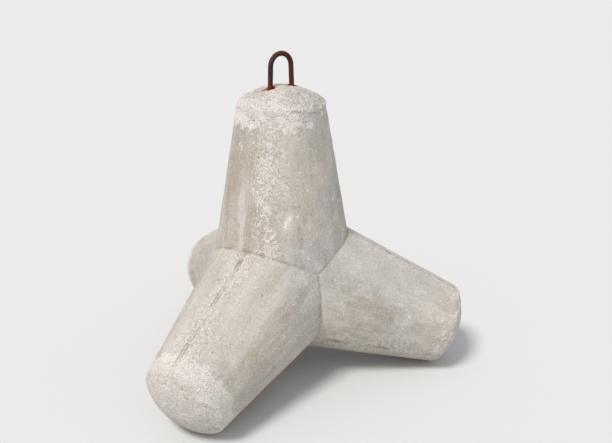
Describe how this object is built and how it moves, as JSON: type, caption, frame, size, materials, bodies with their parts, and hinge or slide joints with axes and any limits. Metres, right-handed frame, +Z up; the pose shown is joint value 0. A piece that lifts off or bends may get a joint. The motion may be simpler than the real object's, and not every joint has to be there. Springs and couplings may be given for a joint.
{
  "type": "concrete tetrapod",
  "caption": "Precast concrete tetrapod, a wave-breaking armour block with tapered round legs, domed leg ends and a cast-in steel lifting loop, for sea walls and breakwaters.",
  "frame": {"origin": "the point where the axes of the four legs meet, which is the centre of the casting", "axes": "+Z up along the upright leg, which carries the lifting loop; +X towards one of the three lower legs, which the block stands on"},
  "size_m": [2.2157, 2.4544, 2.3406],
  "materials": {
    "concrete": "matte",
    "loop_steel": "matte"
  },
  "bodies": {
    "root": {"concrete_body": "concrete", "lifting_loop": "loop_steel"}
  },
  "joints": []
}
